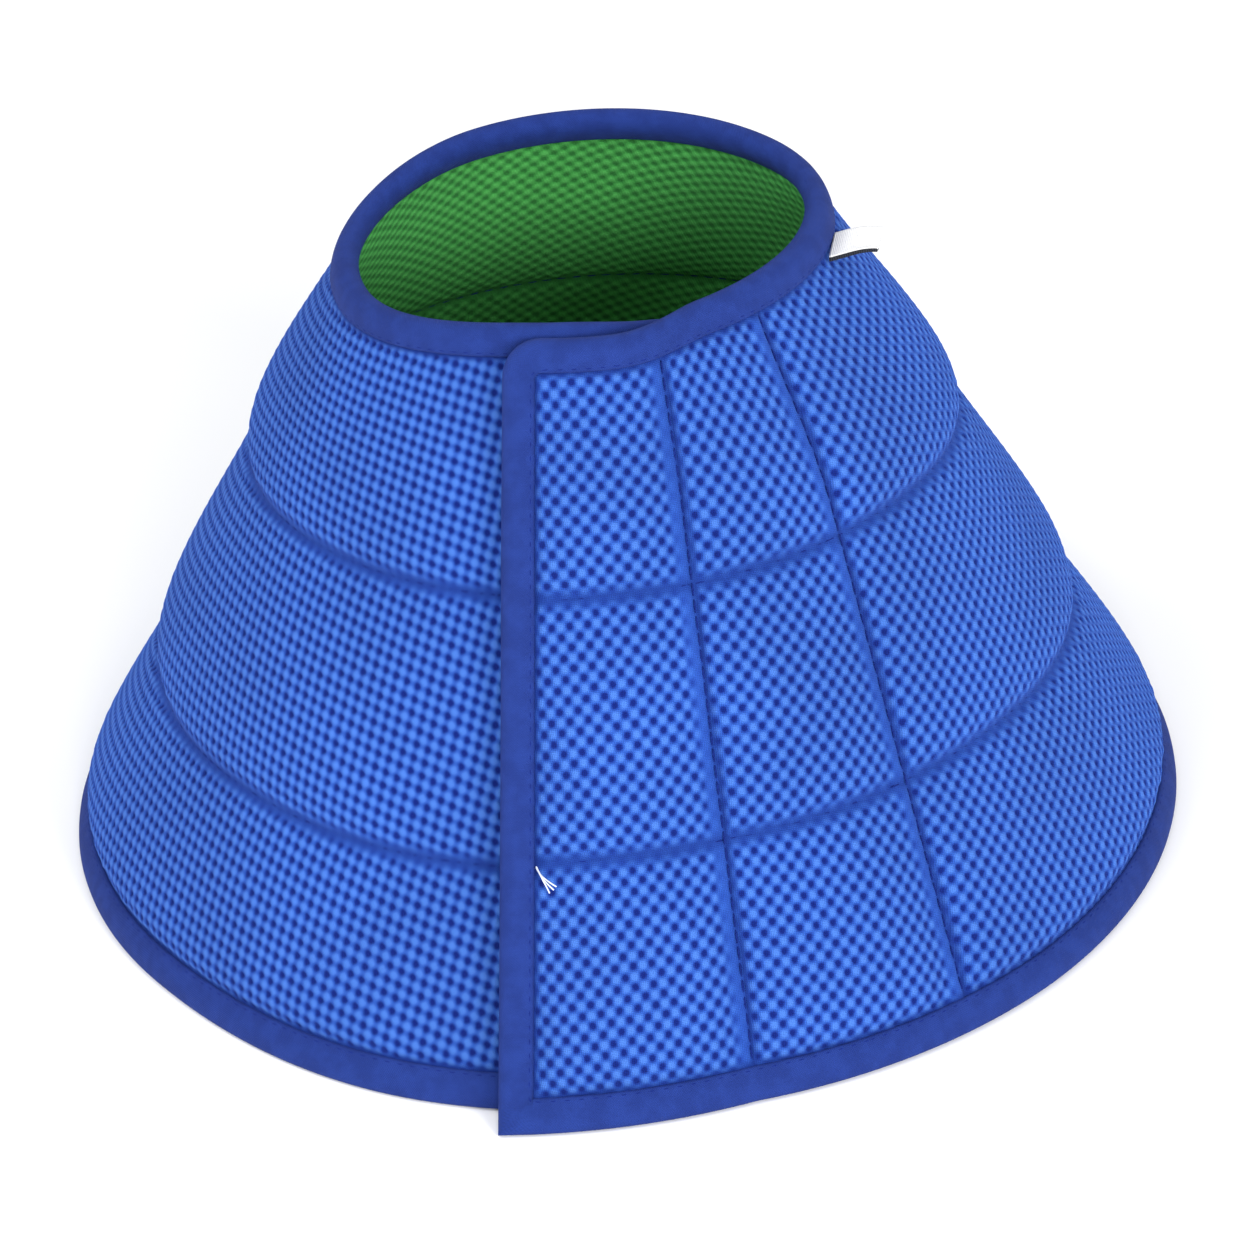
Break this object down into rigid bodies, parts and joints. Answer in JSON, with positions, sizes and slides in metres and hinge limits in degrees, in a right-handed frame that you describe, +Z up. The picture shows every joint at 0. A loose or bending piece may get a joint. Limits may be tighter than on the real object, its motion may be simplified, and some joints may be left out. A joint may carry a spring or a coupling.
{
  "type": "elizabethan collar",
  "caption": "Soft quilted cone collar for a pet: blue air mesh outside, green mesh lining, bound edges and a wrap-round flap that opens.",
  "frame": {"origin": "centre of the bounding box on the floor under the rim", "axes": "+Z up through the neck, -Y towards the front where the flap closes, +X to the right as seen from the front"},
  "size_m": [0.2454, 0.2528, 0.1423],
  "materials": {
    "blue_air_mesh": "royal blue knitted spacer mesh with a lattice of small holes",
    "green_mesh_lining": "green knitted mesh with a lattice of small holes",
    "wadding": "loose white wadding",
    "binding_tape": "matt dark blue folded woven tape",
    "blue_thread": "dark blue sewing thread",
    "white_thread": "pale sewing thread",
    "hook_and_loop": "dark napped tape",
    "label_satin": "plain white satin",
    "label_backing": "dark woven tape"
  },
  "bodies": {
    "back": {"binding_back": "binding_tape", "lining_back": "green_mesh_lining", "loop_strip": "hook_and_loop", "outer_mesh_back": "blue_air_mesh", "ring_stitch_back_lower": "blue_thread", "ring_stitch_back_upper": "blue_thread", "wadding_back_middle": "wadding", "wadding_back_neck": "wadding", "wadding_back_rim": "wadding"},
    "right_wing": {"lining_right": "green_mesh_lining", "neck_binding_right": "binding_tape", "outer_mesh_right": "blue_air_mesh", "rim_binding_right": "binding_tape", "ring_stitch_right_lower": "blue_thread", "ring_stitch_right_upper": "blue_thread", "wadding_right_middle": "wadding", "wadding_right_neck": "wadding", "wadding_right_rim": "wadding"},
    "flap_inner": {"lining_flap_inner": "green_mesh_lining", "neck_binding_flap_inner": "binding_tape", "outer_mesh_flap_inner": "blue_air_mesh", "radial_stitch_inner": "blue_thread", "rim_binding_flap_inner": "binding_tape", "ring_stitch_flap_inner_lower": "blue_thread", "ring_stitch_flap_inner_upper": "blue_thread", "wadding_flap_inner_middle": "wadding", "wadding_flap_inner_neck": "wadding", "wadding_flap_inner_rim": "wadding"},
    "flap_edge": {"binding_flap_edge": "binding_tape", "hook_strip": "hook_and_loop", "lining_flap_edge": "green_mesh_lining", "outer_mesh_flap_edge": "blue_air_mesh", "radial_stitch_edge": "blue_thread", "ring_stitch_flap_edge_lower": "blue_thread", "ring_stitch_flap_edge_upper": "blue_thread", "thread_tail": "white_thread", "wadding_flap_edge_middle": "wadding", "wadding_flap_edge_neck": "wadding", "wadding_flap_edge_rim": "wadding"},
    "label": {"label_backing": "label_backing", "label_tab": "label_satin"}
  },
  "joints": [
    {"name": "right_wing_hinge", "type": "hinge", "parent": "back", "child": "right_wing", "pos_m": [0.04222, 0.08079, 0.07255], "axis": [-0.2211, -0.3829, 0.8969], "range_deg": [0, 60]},
    {"name": "flap_inner_hinge", "type": "hinge", "parent": "right_wing", "child": "flap_inner", "pos_m": [0.05304, -0.06802, 0.07215], "axis": [-0.1987, 0.4046, 0.8927], "range_deg": [0, 110]},
    {"name": "flap_edge_hinge", "type": "hinge", "parent": "flap_inner", "child": "flap_edge", "pos_m": [0.01745, -0.08499, 0.07215], "axis": [-0.0595, 0.4397, 0.8962], "range_deg": [0, 75]},
    {"name": "label_hinge", "type": "hinge", "parent": "right_wing", "child": "label", "pos_m": [0.05506, -0.00642, 0.13604], "axis": [-0.1736, -0.9848, 0], "range_deg": [0, 60]}
  ]
}
